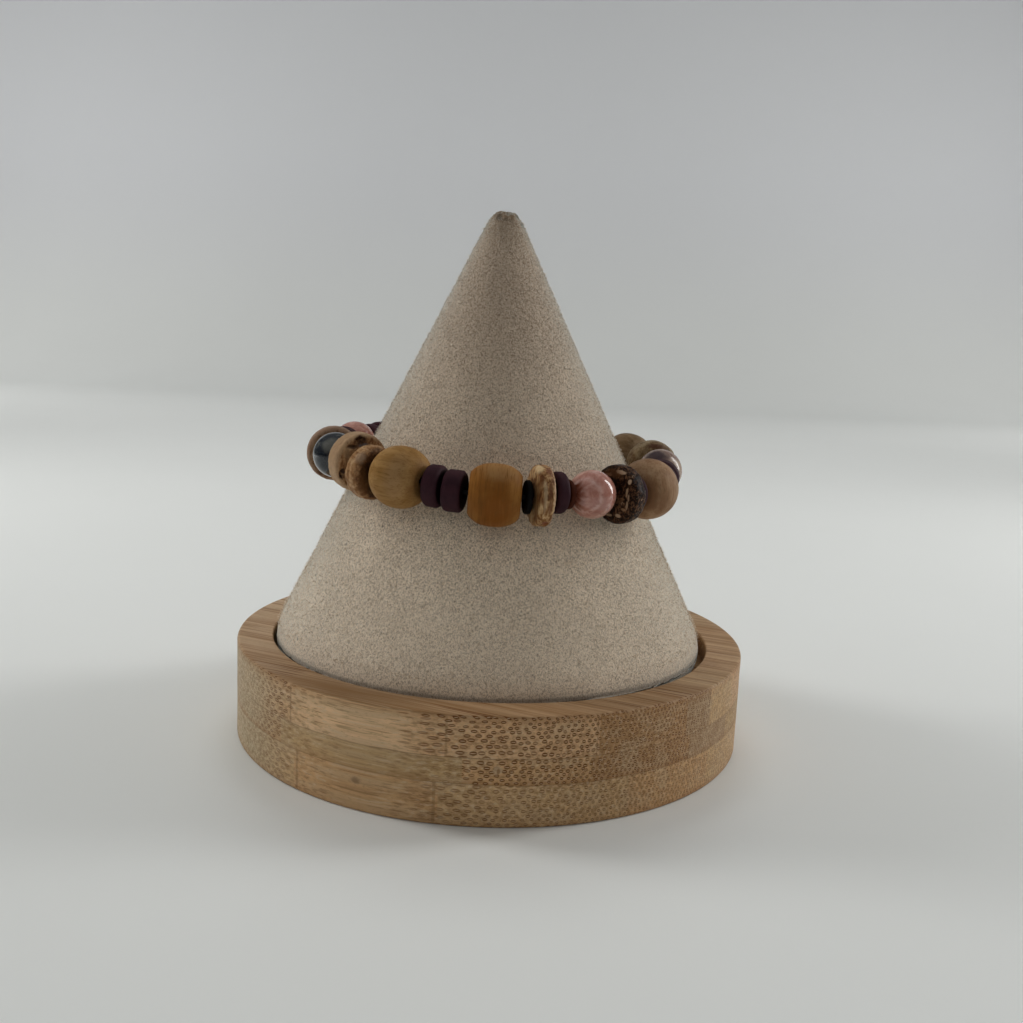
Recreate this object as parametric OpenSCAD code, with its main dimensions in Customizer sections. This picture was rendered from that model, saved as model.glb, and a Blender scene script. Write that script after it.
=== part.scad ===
// Beaded stretch bracelet, held on a suede cone that stands in a round bamboo base.
// The origin is the middle of the base's underside, and +Z is up.
// The side of the bracelet that is seen first faces -Y.

/* [Base] */
// Diameter of the bamboo base
base_d = 93; // [85:0.5:110]
// Height of the bamboo base
base_h = 17.4; // [14:0.1:24]
// Radius of the base's softened outer edges
base_edge = 0.5; // [0.2:0.1:1.5]
// Diameter of the recess that the cone stands in
recess_d = 80.4; // [80.2:0.1:82]
// Depth of the recess
recess_depth = 5; // [3:0.5:9]

/* [Cone] */
// Height where the cone's straight sides would meet, above the underside of the base
cone_apex = 98.5; // [98.3:0.1:99.5]
// Radius that the cone gains for each millimetre down
cone_slope = 0.4924; // [0.48:0.0001:0.5]
// Radius of the blunt tip where the straight side ends
tip_r = 2.5; // [1.5:0.1:4]
// Height of the low dome on the tip
tip_rise = 0.9; // [0.5:0.1:1.5]
// Largest radius of the cone, at its soft lower edge
cone_r = 39.2; // [38.5:0.1:39.4]
// Radius of the slow bend from the straight side into the lower edge
bend_r = 9; // [5:0.5:12]
// Radius of the lower edge, where the cover is turned under
turn_r = 4.3; // [3:0.1:4.5]
// Distance that the cone stands to the left of the base's middle
cone_shift = 0.4; // [0:0.1:0.6]

/* [Bracelet] */
// Radius of the loop that the elastic cord makes
string_r = 29.7; // [29.5:0.1:32]
// Height of the loop's middle above the underside of the base
string_z = 50.0; // [49.5:0.1:52]
// Angle that the loop leans on the cone
string_tilt = 4.4; // [3:0.1:5.5]
// Direction in which the loop rises, counted from +X
string_uphill = 123.5; // [100:0.5:150]
// Distance of the loop's middle in front of the base's middle
string_front = 0.95; // [0.5:0.05:1.2]
// Distance of the loop's middle to the right of the base's middle
string_side = 0.15; // [0:0.05:0.3]
// Diameter of the elastic cord
cord_d = 0.7; // [0.5:0.1:0.8]
// Bore of the wood beads
wood_bore = 1.6; // [1.5:0.1:2.2]
// Bore of the stone beads and of the discs
stone_bore = 1.4; // [1.35:0.05:1.8]
// Free play between two neighbours on the cord
play = 0.06; // [0.03:0.01:0.07]
// Angle that the string is turned on the cone
string_turn = -0.6; // [-30:0.1:30]

/* [Hidden] */
$fn = 72;
seat_gap = 0.1;
arc_steps = 6;
cord_sides = 8;
recess_floor = base_h - recess_depth;

// Kinds of bead: name, edge radius (0 marks a ball with flat ends), bore, colour
KINDS = [
    ["wood", 0, wood_bore, "tan"],
    ["stone", 0, stone_bore, "rosybrown"],
    ["plum", 0.45, stone_bore, "#3a2a33"],
    ["nut", 0.9, stone_bore, "#7d6245"],
    ["spacer", 0.25, stone_bore, "#1c1a1a"]
];

// The beads in the order of the string, counterclockwise from above, from the wood bead at the front:
// node, kind, length along the string, diameter, string's rise above the loop's plane,
// string's distance outside the loop, height of the body above its own bore
BEADS = [
    ["wood_bead_1", "wood", 8.2, 10.0, -0.3, 0.2, 0],
    ["spacer_disc_1", "spacer", 0.95, 5.4, -0.3, 0.1, 0],
    ["shell_disc_1", "nut", 2.65, 9.8, 0, 0.05, 0],
    ["plum_disc_1", "plum", 2.2, 6.7, 0.35, 0, 0.2],
    ["spacer_disc_2", "spacer", 0.9, 4.8, 0.3, 0, 0],
    ["pink_bead_1", "stone", 7.9, 7.9, 0.2, 0, 0],
    ["nut_disc_1", "nut", 3.4, 9.8, -0.1, 0.05, 0],
    ["plum_disc_2", "plum", 1.4, 6.8, -0.1, 0.1, 0],
    ["wood_bead_2", "wood", 8.8, 10.3, -0.1, 0.25, 0],
    ["plum_disc_3", "plum", 3.4, 6.6, 0, 0, 0],
    ["plum_disc_4", "plum", 3.4, 6.6, 0.1, 0, 0],
    ["mauve_bead_1", "stone", 8.1, 8.1, 0.3, 0.1, 0],
    ["nut_disc_2", "nut", 3.8, 9.8, 0, 0, 0],
    ["plum_disc_5", "plum", 2.6, 7.0, -0.3, 0.2, 0],
    ["wood_bead_3", "wood", 8.8, 10.0, -0.5, 0.3, 0],
    ["plum_disc_6", "plum", 3.0, 7.0, -0.8, 0.3, 0],
    ["pink_bead_2", "stone", 8.0, 8.0, -0.9, 0.3, 0],
    ["nut_disc_3", "nut", 3.6, 9.8, -1.0, 0.4, 0],
    ["plum_disc_7", "plum", 3.35, 7.0, -1.0, 0.4, 0],
    ["wood_bead_4", "wood", 8.8, 10.0, -1.1, 0.5, 0],
    ["dark_bead_1", "stone", 8.0, 8.0, -1.1, 0.5, 0],
    ["nut_disc_4", "nut", 3.4, 9.8, -1.2, 0.5, 0],
    ["wood_bead_5", "wood", 8.6, 10.0, -1.2, 0.5, 0],
    ["plum_disc_8", "plum", 3.35, 7.0, -1.3, 0.4, 0],
    ["plum_disc_9", "plum", 3.0, 7.0, -1.5, 0.4, 0],
    ["pink_bead_3", "stone", 8.0, 8.0, -0.9, 0, 0],
    ["plum_disc_10", "plum", 3.0, 7.0, -0.7, 0, 0],
    ["plum_disc_11", "plum", 3.0, 7.0, -0.6, 0, 0],
    ["plum_disc_12", "plum", 2.9, 7.0, -0.5, 0.1, 0],
    ["nut_disc_5", "nut", 3.3, 9.6, -0.4, 0.1, 0],
    ["dark_bead_2", "stone", 7.8, 7.8, 0.4, 0.6, 0],
    ["plum_disc_13", "plum", 2.2, 6.2, 0.45, 0.2, 0],
    ["nut_disc_6", "nut", 3.5, 9.9, 0.5, 0, 0.4],
    ["nut_disc_7", "nut", 3.25, 9.0, 0.3, 0, -0.4],
    ["wood_bead_6", "wood", 8.8, 10.1, 0.35, 0, 0],
    ["plum_disc_14", "plum", 2.7, 6.85, -0.05, 0, 0],
    ["plum_disc_15", "plum", 3.15, 6.75, -0.35, 0.1, 0]
];

// What a bead's kind says: 1 edge radius, 2 bore, 3 colour
function kind(row, column) = [for (k = KINDS) if (k[0] == row[1]) k[column]][0];

// Angle of the string that half a ball takes up, from its flat end or its round side
function ball_half(l, r) =
    let (end_r = sqrt(max(0, r * r - l * l / 4)))
    min(asin(r / string_r), atan(l / 2 / (string_r - end_r)));

// Angle of the string that half a disc takes up, from its rounded edge nearest to the middle of the loop
function disc_half(l, r, edge) =
    let (in = string_r - r + edge, side = l / 2 - edge)
    atan(side / in) + asin(edge / norm([in, side]));

function half_span(row) = kind(row, 1) == 0 ? ball_half(row[2], row[3] / 2)
                                            : disc_half(row[2], row[3] / 2, kind(row, 1));

// Angle of bead i along the string, 0 at the first bead
play_angle = play / string_r * 180 / PI;
function place(i) = i == 0 ? 0
                           : place(i - 1) + half_span(BEADS[i - 1]) + half_span(BEADS[i]) + play_angle;

// Points along an arc, from angle a to angle b
function arc(x, y, r, a, b) = [for (i = [0 : arc_steps])
    let (t = a + (b - a) * i / arc_steps)
    [x + r * cos(t), y + r * sin(t)]];

// Half outline of a disc with rounded edges, from its axis outwards
function disc_outline(l, r, edge) = concat(
    [[0, -l / 2]],
    arc(r - edge, -l / 2 + edge, edge, -90, 0),
    arc(r - edge, l / 2 - edge, edge, 0, 90),
    [[0, l / 2]]);

// Moves its children into the plane of the loop, whose front is at angle 0
module on_string() {
    translate([string_side, -string_front, string_z])
        rotate(a = string_tilt, v = [sin(string_uphill), -cos(string_uphill), 0])
            rotate([0, 0, string_turn - 90])
                children();
}

module bead_body(row) {
    l = row[2];
    r = row[3] / 2;
    edge = kind(row, 1);
    rotate([90, 0, 0])
        if (edge == 0)
            intersection() {
                sphere(r = r);
                cylinder(h = l, r = r + 1, center = true);
            }
        else
            rotate_extrude()
                polygon(disc_outline(l, r, edge));
}

// One bead of the string, with its bore where the cord runs
module bead(i) {
    row = BEADS[i];
    color(kind(row, 3))
        on_string()
            rotate([0, 0, place(i)])
                translate([string_r + row[5], 0, row[4]])
                    difference() {
                        translate([0, 0, row[6]])
                            bead_body(row);
                        rotate([90, 0, 0])
                            cylinder(h = row[2] + 2, d = kind(row, 2), center = true);
                    }
}

// Route of the cord as [angle, radius, height]: straight through each bead, from its one end to its other
cord_route = [for (i = [0 : len(BEADS) - 1])
    let (row = BEADS[i], reach = atan(row[2] / 2 / (string_r + row[5])), r = (string_r + row[5]) / cos(reach))
    for (side = [-1, 1])
        [place(i) + side * reach, r, row[4]]];

// Ring of points round the cord at one place of its route
function cord_ring(at) = [for (j = [0 : cord_sides - 1])
    let (t = 360 * j / cord_sides, r = at[1] + cord_d / 2 * cos(t))
    [r * cos(at[0]), r * sin(at[0]), at[2] + cord_d / 2 * sin(t)]];

module elastic_cord() {
    rings = len(cord_route);
    count = rings * cord_sides;
    color("#1d1b1a")
        on_string()
            polyhedron(
                points = [for (at = cord_route) each cord_ring(at)],
                faces = [for (i = [0 : rings - 1], j = [0 : cord_sides - 1])
                    let (a = i * cord_sides, b = (i + 1) % rings * cord_sides, k = (j + 1) % cord_sides)
                    [(a + j) % count, (a + k) % count, (b + k) % count, (b + j) % count]],
                convexity = 4);
}

module suede_cone() {
    lean = atan(cone_slope);
    bend_x = cone_r - bend_r;
    bend_z = cone_apex - (bend_x + bend_r * cos(lean)) / cone_slope - bend_r * sin(lean);
    foot = recess_floor + seat_gap;
    tip_z = cone_apex - tip_r / cone_slope;
    dome_r = (tip_r * tip_r + tip_rise * tip_rise) / (2 * tip_rise);
    dome_half = asin(tip_r / dome_r);
    color("#8d8271")
        translate([-cone_shift, 0, 0])
            rotate_extrude()
                polygon(concat(
                    [[0, foot]],
                    arc(cone_r - turn_r, foot + turn_r, turn_r, -90, 0),
                    arc(bend_x, bend_z, bend_r, 0, lean),
                    arc(0, tip_z + tip_rise - dome_r, dome_r, 90 - dome_half, 90)));
}

module bamboo_base() {
    color("#a98a5f")
        difference() {
            rotate_extrude()
                translate([0, base_h / 2])
                    polygon(disc_outline(base_h, base_d / 2, base_edge));
            translate([0, 0, recess_floor])
                cylinder(h = recess_depth + 1, d = recess_d);
        }
}

bamboo_base();
suede_cone();
elastic_cord();
for (i = [0 : len(BEADS) - 1])
    bead(i);
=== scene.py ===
import math
import random

import bmesh
import bpy
from mathutils import Matrix, Vector, noise


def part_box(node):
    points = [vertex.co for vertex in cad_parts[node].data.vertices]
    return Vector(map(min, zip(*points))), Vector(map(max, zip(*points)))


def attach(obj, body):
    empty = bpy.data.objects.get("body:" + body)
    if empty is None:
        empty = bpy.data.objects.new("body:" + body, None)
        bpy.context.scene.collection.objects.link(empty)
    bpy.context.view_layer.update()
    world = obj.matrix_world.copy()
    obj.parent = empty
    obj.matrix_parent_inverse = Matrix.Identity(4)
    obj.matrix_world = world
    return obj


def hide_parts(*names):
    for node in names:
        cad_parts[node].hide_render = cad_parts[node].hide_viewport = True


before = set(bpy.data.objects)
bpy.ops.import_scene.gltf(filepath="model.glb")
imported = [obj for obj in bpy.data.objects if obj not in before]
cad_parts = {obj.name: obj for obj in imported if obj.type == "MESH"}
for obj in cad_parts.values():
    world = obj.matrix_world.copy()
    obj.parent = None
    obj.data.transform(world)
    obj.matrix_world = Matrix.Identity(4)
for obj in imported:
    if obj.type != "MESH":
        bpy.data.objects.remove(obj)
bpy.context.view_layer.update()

# Shapes are made in mm, and new_object brings them to metres
MM = 0.001
random.seed(7)

# Camera: place in mm, turns in radians, lens and sensor width in mm
CAMERA_MM = (0.0, -193.504, 72.359)
CAMERA_YAW, CAMERA_PITCH, CAMERA_ROLL = 0.0152, 0.1646, 0.0443
CAMERA_LENS, SENSOR = 37.107, 36.0


def make_camera():
    yaw, pitch, roll = CAMERA_YAW, CAMERA_PITCH, CAMERA_ROLL
    forward = Vector((math.sin(yaw) * math.cos(pitch), math.cos(yaw) * math.cos(pitch), -math.sin(pitch)))
    level = forward.cross(Vector((0, 0, 1))).normalized()
    upright = level.cross(forward)
    right = level * math.cos(roll) + upright * math.sin(roll)
    up = upright * math.cos(roll) - level * math.sin(roll)
    data = bpy.data.cameras.new("camera")
    data.lens, data.sensor_width = CAMERA_LENS, SENSOR
    data.clip_start, data.clip_end = 0.005, 20
    camera = bpy.data.objects.new("camera", data)
    bpy.context.scene.collection.objects.link(camera)
    place = Matrix((right, up, -forward)).transposed().to_4x4()
    place.translation = Vector(CAMERA_MM) * MM
    camera.matrix_world = place
    bpy.context.scene.camera = camera


make_camera()
bpy.context.scene.view_settings.view_transform = "Standard"


class Shader:
    """A material under construction. Its methods add nodes and return their outputs, and mm is the place
    of a point in mm."""

    def __init__(self, name, specular=None, **fixed):
        self.material = bpy.data.materials.new(name)
        self.material.use_nodes = True
        self.nodes = self.material.node_tree.nodes
        self.links = self.material.node_tree.links
        self.bsdf = self.nodes["Principled BSDF"]
        for socket, value in fixed.items():
            self.put(self.bsdf, socket.replace("_", " "), value)
        if specular is not None:
            self.put(self.bsdf, "Specular IOR Level", specular)
        metres = self.add("ShaderNodeTexCoord", out="Object")
        scaled = self.nodes.new("ShaderNodeVectorMath")
        scaled.operation = "SCALE"
        self.put(scaled, 0, metres)
        self.put(scaled, "Scale", 1 / MM)
        self.mm = scaled.outputs[0]

    def put(self, node, socket, value):
        target = node.inputs[socket]
        if isinstance(value, bpy.types.NodeSocket):
            self.links.new(value, target)
        elif hasattr(value, "__len__") and len(value) == 3 and target.type == "RGBA":
            target.default_value = (*value, 1)
        else:
            target.default_value = value

    def add(self, kind, out=0, **inputs):
        node = self.nodes.new(kind)
        for key, value in inputs.items():
            self.put(node, key.replace("_", " "), value)
        return node.outputs[out]

    def math(self, operation, a, b=0.0):
        node = self.nodes.new("ShaderNodeMath")
        node.operation = operation
        self.put(node, 0, a)
        self.put(node, 1, b)
        return node.outputs[0]

    def plus(self, *values):
        total = values[0]
        for value in values[1:]:
            total = self.math("ADD", total, value)
        return total

    def times(self, *values):
        total = values[0]
        for value in values[1:]:
            total = self.math("MULTIPLY", total, value)
        return total

    def less(self, a, b):
        return self.math("SUBTRACT", a, b)

    def vector(self, operation, a, b=(0, 0, 0), out=0):
        node = self.nodes.new("ShaderNodeVectorMath")
        node.operation = operation
        self.put(node, 0, a)
        self.put(node, 1, b)
        return node.outputs[out]

    def length(self, vector):
        return self.vector("LENGTH", vector, out="Value")

    def mapped(self, vector, move=(0, 0, 0), turn=(0, 0, 0), scale=(1, 1, 1)):
        return self.add("ShaderNodeMapping", Vector=vector, Location=move, Rotation=turn, Scale=scale)

    def split(self, vector):
        node = self.nodes.new("ShaderNodeSeparateXYZ")
        self.put(node, 0, vector)
        return node.outputs

    def join(self, x, y, z):
        return self.add("ShaderNodeCombineXYZ", X=x, Y=y, Z=z)

    def noise(self, vector, scale, detail=2.0, rough=0.5, distort=0.0, out=0):
        return self.add("ShaderNodeTexNoise", out=out, Vector=vector, Scale=scale, Detail=detail,
                        Roughness=rough, Distortion=distort)

    def cells(self, vector, scale, randomness=1.0, dims="3D"):
        """Outputs of a cell pattern: distance, colour and middle of the nearest cell."""
        node = self.nodes.new("ShaderNodeTexVoronoi")
        node.voronoi_dimensions = dims
        self.put(node, "Vector", vector)
        self.put(node, "Scale", scale)
        self.put(node, "Randomness", randomness)
        return node.outputs

    def fit(self, value, low, high, to_low=0.0, to_high=1.0, smooth=True):
        """The value brought from low and high to to_low and to_high."""
        node = self.nodes.new("ShaderNodeMapRange")
        node.interpolation_type = "SMOOTHSTEP" if smooth else "LINEAR"
        for i, item in enumerate((value, low, high, to_low, to_high)):
            self.put(node, i, item)
        return node.outputs[0]

    def ramp(self, value, stops, steps="LINEAR"):
        """Outputs of a colour ramp: its colour, and the fourth value of its stops."""
        node = self.nodes.new("ShaderNodeValToRGB")
        ramp = node.color_ramp
        ramp.interpolation = steps
        while len(ramp.elements) < len(stops):
            ramp.elements.new(0.5)
        for element, (place, _) in zip(ramp.elements, stops):
            element.position = place
        for element, (_, colour) in zip(ramp.elements, stops):
            element.color = colour if len(colour) == 4 else (*colour, 1)
        self.put(node, 0, value)
        return node.outputs

    def mix(self, share, a, b):
        node = self.nodes.new("ShaderNodeMix")
        node.data_type = "RGBA"
        self.put(node, 0, share)
        self.put(node, 6, a)
        self.put(node, 7, b)
        return node.outputs[2]

    def lerp(self, share, a, b):
        node = self.nodes.new("ShaderNodeMix")
        node.data_type = "FLOAT"
        self.put(node, 0, share)
        self.put(node, 2, a)
        self.put(node, 3, b)
        return node.outputs[0]

    def layers(self, colour, *rows):
        """Tints laid over a colour in turn, as rows of a tint and the shares that make its share."""
        for tint, *shares in rows:
            colour = self.mix(self.times(*shares), colour, tint)
        return colour

    def paint(self, colour, patches, ragged=0.5, grain=1.3):
        """Blotches on a colour, as rows of middle, reach, tint, share and softness."""
        edge = self.times(self.less(self.noise(self.mm, grain, 3, 0.6), 0.5), 2 * ragged)
        for middle, reach, tint, share, soft in patches:
            local = self.vector("DIVIDE", self.vector("SUBTRACT", self.mm, middle), reach)
            distance = self.plus(self.length(local), edge)
            colour = self.mix(self.times(self.fit(distance, 1 + soft, 1 - soft), share), colour, tint)
        return colour

    def bump(self, height, depth, strength=1.0):
        return self.add("ShaderNodeBump", Height=height, Distance=depth * MM, Strength=strength)

    def finish(self, colour, rough=None, normal=None):
        """Link what the material is made of, and return it."""
        for socket, value in (("Base Color", colour), ("Roughness", rough), ("Normal", normal)):
            if value is not None:
                self.put(self.bsdf, socket, value)
        return self.material


# Meshes, all made in mm
def new_object(name, bm, material, place=Matrix.Identity(4)):
    bmesh.ops.scale(bm, vec=(MM, MM, MM), verts=bm.verts)
    bmesh.ops.recalc_face_normals(bm, faces=bm.faces)
    mesh = bpy.data.meshes.new(name)
    bm.to_mesh(mesh)
    bm.free()
    for polygon in mesh.polygons:
        polygon.use_smooth = True
    mesh.materials.append(material)
    piece = bpy.data.objects.new(name, mesh)
    bpy.context.scene.collection.objects.link(piece)
    piece.matrix_world = place
    return piece


ON_AXIS = 1e-6


def lathe(outline, around, closed):
    """A bmesh turned round Z from (radius, height) points. A closed outline is a ring clear of the axis."""
    bm = bmesh.new()
    turns = [2 * math.pi * k / around for k in range(around)]
    rings = [[bm.verts.new((0, 0, z))] if r < ON_AXIS else
             [bm.verts.new((r * math.cos(t), r * math.sin(t), z)) for t in turns] for r, z in outline]
    for lower, upper in list(zip(rings, rings[1:])) + ([(rings[-1], rings[0])] if closed else []):
        for k in range(around):
            n = (k + 1) % around
            if len(lower) == 1:
                bm.faces.new((lower[0], upper[n], upper[k]))
            elif len(upper) == 1:
                bm.faces.new((lower[k], lower[n], upper[0]))
            else:
                bm.faces.new((lower[k], lower[n], upper[n], upper[k]))
    return bm


def arc(x, y, r, a, b, steps):
    """Points along an arc, with its angles in degrees."""
    return [(x + r * math.cos(t), y + r * math.sin(t))
            for t in (math.radians(a + (b - a) * k / steps) for k in range(steps + 1))]


def evenly(points, step):
    """The same line with points at most step apart."""
    line = [points[0]]
    for p, q in zip(points, points[1:]):
        n = max(1, math.ceil(math.dist(p, q) / step))
        line += [(p[0] + (q[0] - p[0]) * k / n, p[1] + (q[1] - p[1]) * k / n) for k in range(1, n + 1)]
    return line


def lumps(p, rows, shift=Vector((0, 0, 0))):
    """Unevenness at a point, from rows of lumps per mm and their depth."""
    return sum(noise.noise(p * fine + shift) * deep for fine, deep in rows)


def settle(piece, slot, *nodes):
    """Hide the CAD nodes whose place a piece takes, and give the piece its body. slot is not used."""
    if nodes:
        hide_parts(*nodes)
    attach(piece, "root")


# Stage and light
PAPER_DULL, PAPER_PALE, PAPER_WALL = (0.82, 0.835, 0.805), (0.85, 0.865, 0.835), (0.80, 0.81, 0.825)
# The sweep, in mm: its reach to the front and back, the radius of its bend, its height and half its width
SWEEP_FRONT, SWEEP_BACK, SWEEP_BEND, SWEEP_H, SWEEP_HALF = 1600, 950, 300, 1600, 2200


def make_stage():
    s = Shader("paper", Roughness=0.6)
    colour = s.mix(s.noise(s.mm, 0.009, 3, 0.5), PAPER_DULL, PAPER_PALE)
    s.finish(s.mix(s.fit(s.split(s.mm)[2], 20, 300), colour, PAPER_WALL))
    line = ([(-SWEEP_FRONT, 0.0)] + arc(SWEEP_BACK, SWEEP_BEND, SWEEP_BEND, -90, 0, 24)
            + [(SWEEP_BACK + SWEEP_BEND, SWEEP_H)])
    bm = bmesh.new()
    left, right = [[bm.verts.new((x, y, z)) for y, z in line] for x in (-SWEEP_HALF, SWEEP_HALF)]
    for k in range(len(line) - 1):
        bm.faces.new((left[k], right[k], right[k + 1], left[k + 1]))
    new_object("sweep", bm, s.material)


def area_light(name, place, aim, size, power, seen):
    data = bpy.data.lights.new(name, "AREA")
    data.shape = "RECTANGLE"
    data.size, data.size_y = size
    data.energy = power
    light = bpy.data.objects.new(name, data)
    bpy.context.scene.collection.objects.link(light)
    light.location = place
    light.rotation_euler = (Vector(aim) - Vector(place)).to_track_quat("-Z", "Y").to_euler()
    light.visible_glossy = seen


WORLD_TINT, WORLD_SIDE, WORLD_TOP = (0.985, 1.0, 1.0), 0.06, 0.27


def make_world():
    """Soft light from above, and a little from the sides for the polished beads to mirror."""
    world = bpy.data.worlds.new("world")
    bpy.context.scene.world = world
    world.use_nodes = True
    tree = world.node_tree
    coords = tree.nodes.new("ShaderNodeTexCoord")
    split = tree.nodes.new("ShaderNodeSeparateXYZ")
    tree.links.new(coords.outputs["Generated"], split.inputs[0])

    def math_node(operation, a, b):
        node = tree.nodes.new("ShaderNodeMath")
        node.operation = operation
        for i, value in enumerate((a, b)):
            if isinstance(value, bpy.types.NodeSocket):
                tree.links.new(value, node.inputs[i])
            else:
                node.inputs[i].default_value = value
        return node.outputs[0]

    side = math_node("POWER", math_node("ABSOLUTE", split.outputs[0], 0), 2.0)
    high = math_node("MAXIMUM", split.outputs[2], 0.0)
    level = math_node("ADD", math_node("MULTIPLY", side, WORLD_SIDE), math_node("MULTIPLY", high, WORLD_TOP))
    background = tree.nodes["Background"]
    background.inputs[0].default_value = (*WORLD_TINT, 1)
    tree.links.new(level, background.inputs[1])


# Each light: name, place, point that it faces and size in metres, watts, whether polished things mirror it
LIGHTS = [
    ("side_left", (-0.5, 0.15, 0.28), (0, 0, 0.05), (0.12, 0.45), 1.45, False),
    ("side_right", (0.5, 0.15, 0.28), (0, 0, 0.05), (0.12, 0.45), 1.36, True),
    ("top_back", (0, 0.42, 0.75), (0, 0, 0), (0.35, 0.2), 0.90, False),
    ("front_soft", (0, -0.70, 0.50), (0, 0, 0.04), (0.9, 0.5), 0.64, False),
    ("wall_left", (-0.75, 0.6, 0.35), (-0.3, 1.2, 0.05), (0.3, 0.3), 1.55, False),
    ("wall_right", (0.75, 0.6, 0.35), (0.3, 1.2, 0.05), (0.3, 0.3), 1.38, False),
    ("wall_middle", (0, 0.55, 0.5), (0, 1.2, 0.25), (0.9, 0.2), 0.47, False),
]
make_stage()
make_world()
for name, place, aim, size, power, seen in LIGHTS:
    area_light(name, place, aim, size, power, seen)

# Bamboo base
BASE_R, BASE_H, RECESS_R, RECESS_FLOOR = 46.5, 17.4, 40.2, 12.4
BASE_EDGE, RECESS_EDGE = 0.5, 0.35
# Longest mesh step along the outline in mm, and mesh points round it
BASE_STEP, BASE_AROUND = 1.3, 288
BASE_LUMPS = ((0.07, 0.06), (0.4, 0.025))
# Heights where the three plies meet
PLY_LOW, PLY_TOP = 6.8, 10.85
# Degrees that turn the fibres onto X
FIBRE_TURN = 24.5
TAN, HONEY, ORANGE = (0.72, 0.445, 0.235), (0.64, 0.385, 0.185), (0.49, 0.280, 0.130)
OLIVE, PALE, GREYISH = (0.56, 0.365, 0.175), (0.64, 0.415, 0.210), (0.46, 0.300, 0.165)
# Strips of each ply across the fibres: where a strip starts, its tint, the strength of its fibre dots
TOP_STRIPS = [(-46.5, TAN, 0.8), (-44.4, TAN, 1.0), (-32.6, ORANGE, 0.8), (-18.0, GREYISH, 0.7),
              (-11.3, PALE, 0.35), (-2, TAN, 0.5), (12, HONEY, 0.7), (25, PALE, 0.5), (36, TAN, 0.8)]
MIDDLE_STRIPS = [(-46.5, OLIVE, 0.35), (-43.8, HONEY, 0.9), (-43.0, HONEY, 1.0), (-33.1, ORANGE, 0.85),
                 (-17, GREYISH, 0.5), (-4, OLIVE, 0.5), (9, TAN, 0.6), (22, HONEY, 0.8), (34, PALE, 0.5)]
LOW_STRIPS = [(-46.5, HONEY, 0.5), (-44.85, PALE, 0.62), (-28, HONEY, 0.6), (-11.2, PALE, 0.5),
              (4, TAN, 0.5), (19, PALE, 0.35), (31, HONEY, 0.6)]
DOT_BROWN, STREAK_BROWN, SKIN_BROWN = (0.155, 0.058, 0.016), (0.27, 0.110, 0.030), (0.33, 0.150, 0.048)
PALE_CORE, GLUE_BROWN = (0.66, 0.48, 0.30), (0.17, 0.09, 0.035)
# Joints of strips that show at the front of the top ply and of the low ply
TOP_JOINTS, LOW_JOINTS = (-44.4, -32.6), (-44.85,)
# A knot and a spot on the side: middle, reach, tint, share, softness
BAMBOO_MARKS = [((1.9, -46.4, 9.2), (0.8, 1.2, 0.65), (0.52, 0.36, 0.21), 0.8, 0.3),
                ((2.0, -46.4, 9.0), (0.25, 1.2, 0.45), (0.24, 0.12, 0.05), 0.7, 0.4),
                ((-19.6, -42.2, 4.9), (0.75, 0.75, 0.5), (0.17, 0.10, 0.055), 0.6, 0.5)]


def fibre_dots(s, along, by_ply, depth, strength, calm, left):
    """Fibre bundles, cut across: small rings with a dark cap above and below a pale core. It returns how dark
    each point is, where the pale cores are, and how strong each bundle is."""
    v = s.split(along)[1]
    thick = by_ply(s.lerp, BASE_H - PLY_TOP, PLY_TOP - PLY_LOW, PLY_LOW)
    pitch_v = by_ply(s.lerp, 0.64, 0.70, 0.72)
    pitch_z = by_ply(s.lerp, 1.06, 0.88, 1.0)
    drift = s.times(s.less(s.noise(s.mapped(along, scale=(0.05, 0.2, 0.2)), 1.0, 1), 0.5), 0.9)
    # Rows lie closer together towards the skin side of a ply, and each is set off from the next by half a dot
    row = s.plus(s.math("DIVIDE", s.times(depth, thick, s.plus(1.0, s.times(depth, 0.35))), pitch_z),
                 by_ply(s.lerp, 0.35, 7.6, 3.2), drift)
    place = s.join(s.plus(s.math("DIVIDE", v, pitch_v), s.times(row, 0.5)), row, 0.0)
    grid = s.cells(place, 1.0, 0.42, "2D")
    off_x, off_y, _ = s.split(s.vector("SUBTRACT", place, grid[2]))
    chance, second, _ = s.split(grid[1])
    shrink = s.plus(1.08, s.times(depth, -0.36))
    wide = s.times(shrink, s.plus(0.20, s.times(second, 0.05)))
    tall = s.times(shrink, s.lerp(calm, 0.315, 0.12))
    dv = s.math("DIVIDE", s.times(s.less(off_x, s.times(off_y, 0.5)), pitch_v), wide)
    dz = s.math("DIVIDE", s.times(off_y, pitch_z, s.plus(1.0, s.times(depth, -0.3))), tall)
    reach = s.length(s.join(dv, dz, 0.0))
    far_v, far_z = s.math("ABSOLUTE", dv), s.math("ABSOLUTE", dz)
    core = s.times(s.fit(far_z, 0.36, 0.06), s.fit(far_v, 0.8, 0.3))
    caps = s.plus(0.60, s.times(s.fit(far_z, 0.15, 0.55), 0.40))
    ring = s.times(s.fit(reach, 1.25, 0.80), s.less(1.0, s.times(core, 0.80)), caps)
    ring = s.lerp(calm, ring, s.times(s.fit(reach, 1.15, 0.45), 0.75))
    # The dots fade where the left side is painted pale as painted light
    share = s.times(strength, s.plus(0.92, s.times(depth, 0.42)), s.plus(0.66, s.times(chance, 0.5)),
                    s.less(1.0, s.times(calm, s.fit(second, 0.30, 0.70, 0.10, 0.85))),
                    s.less(1.0, s.times(left, 0.60)))
    return s.math("MINIMUM", s.times(ring, share), 1.0), core, share


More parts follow.
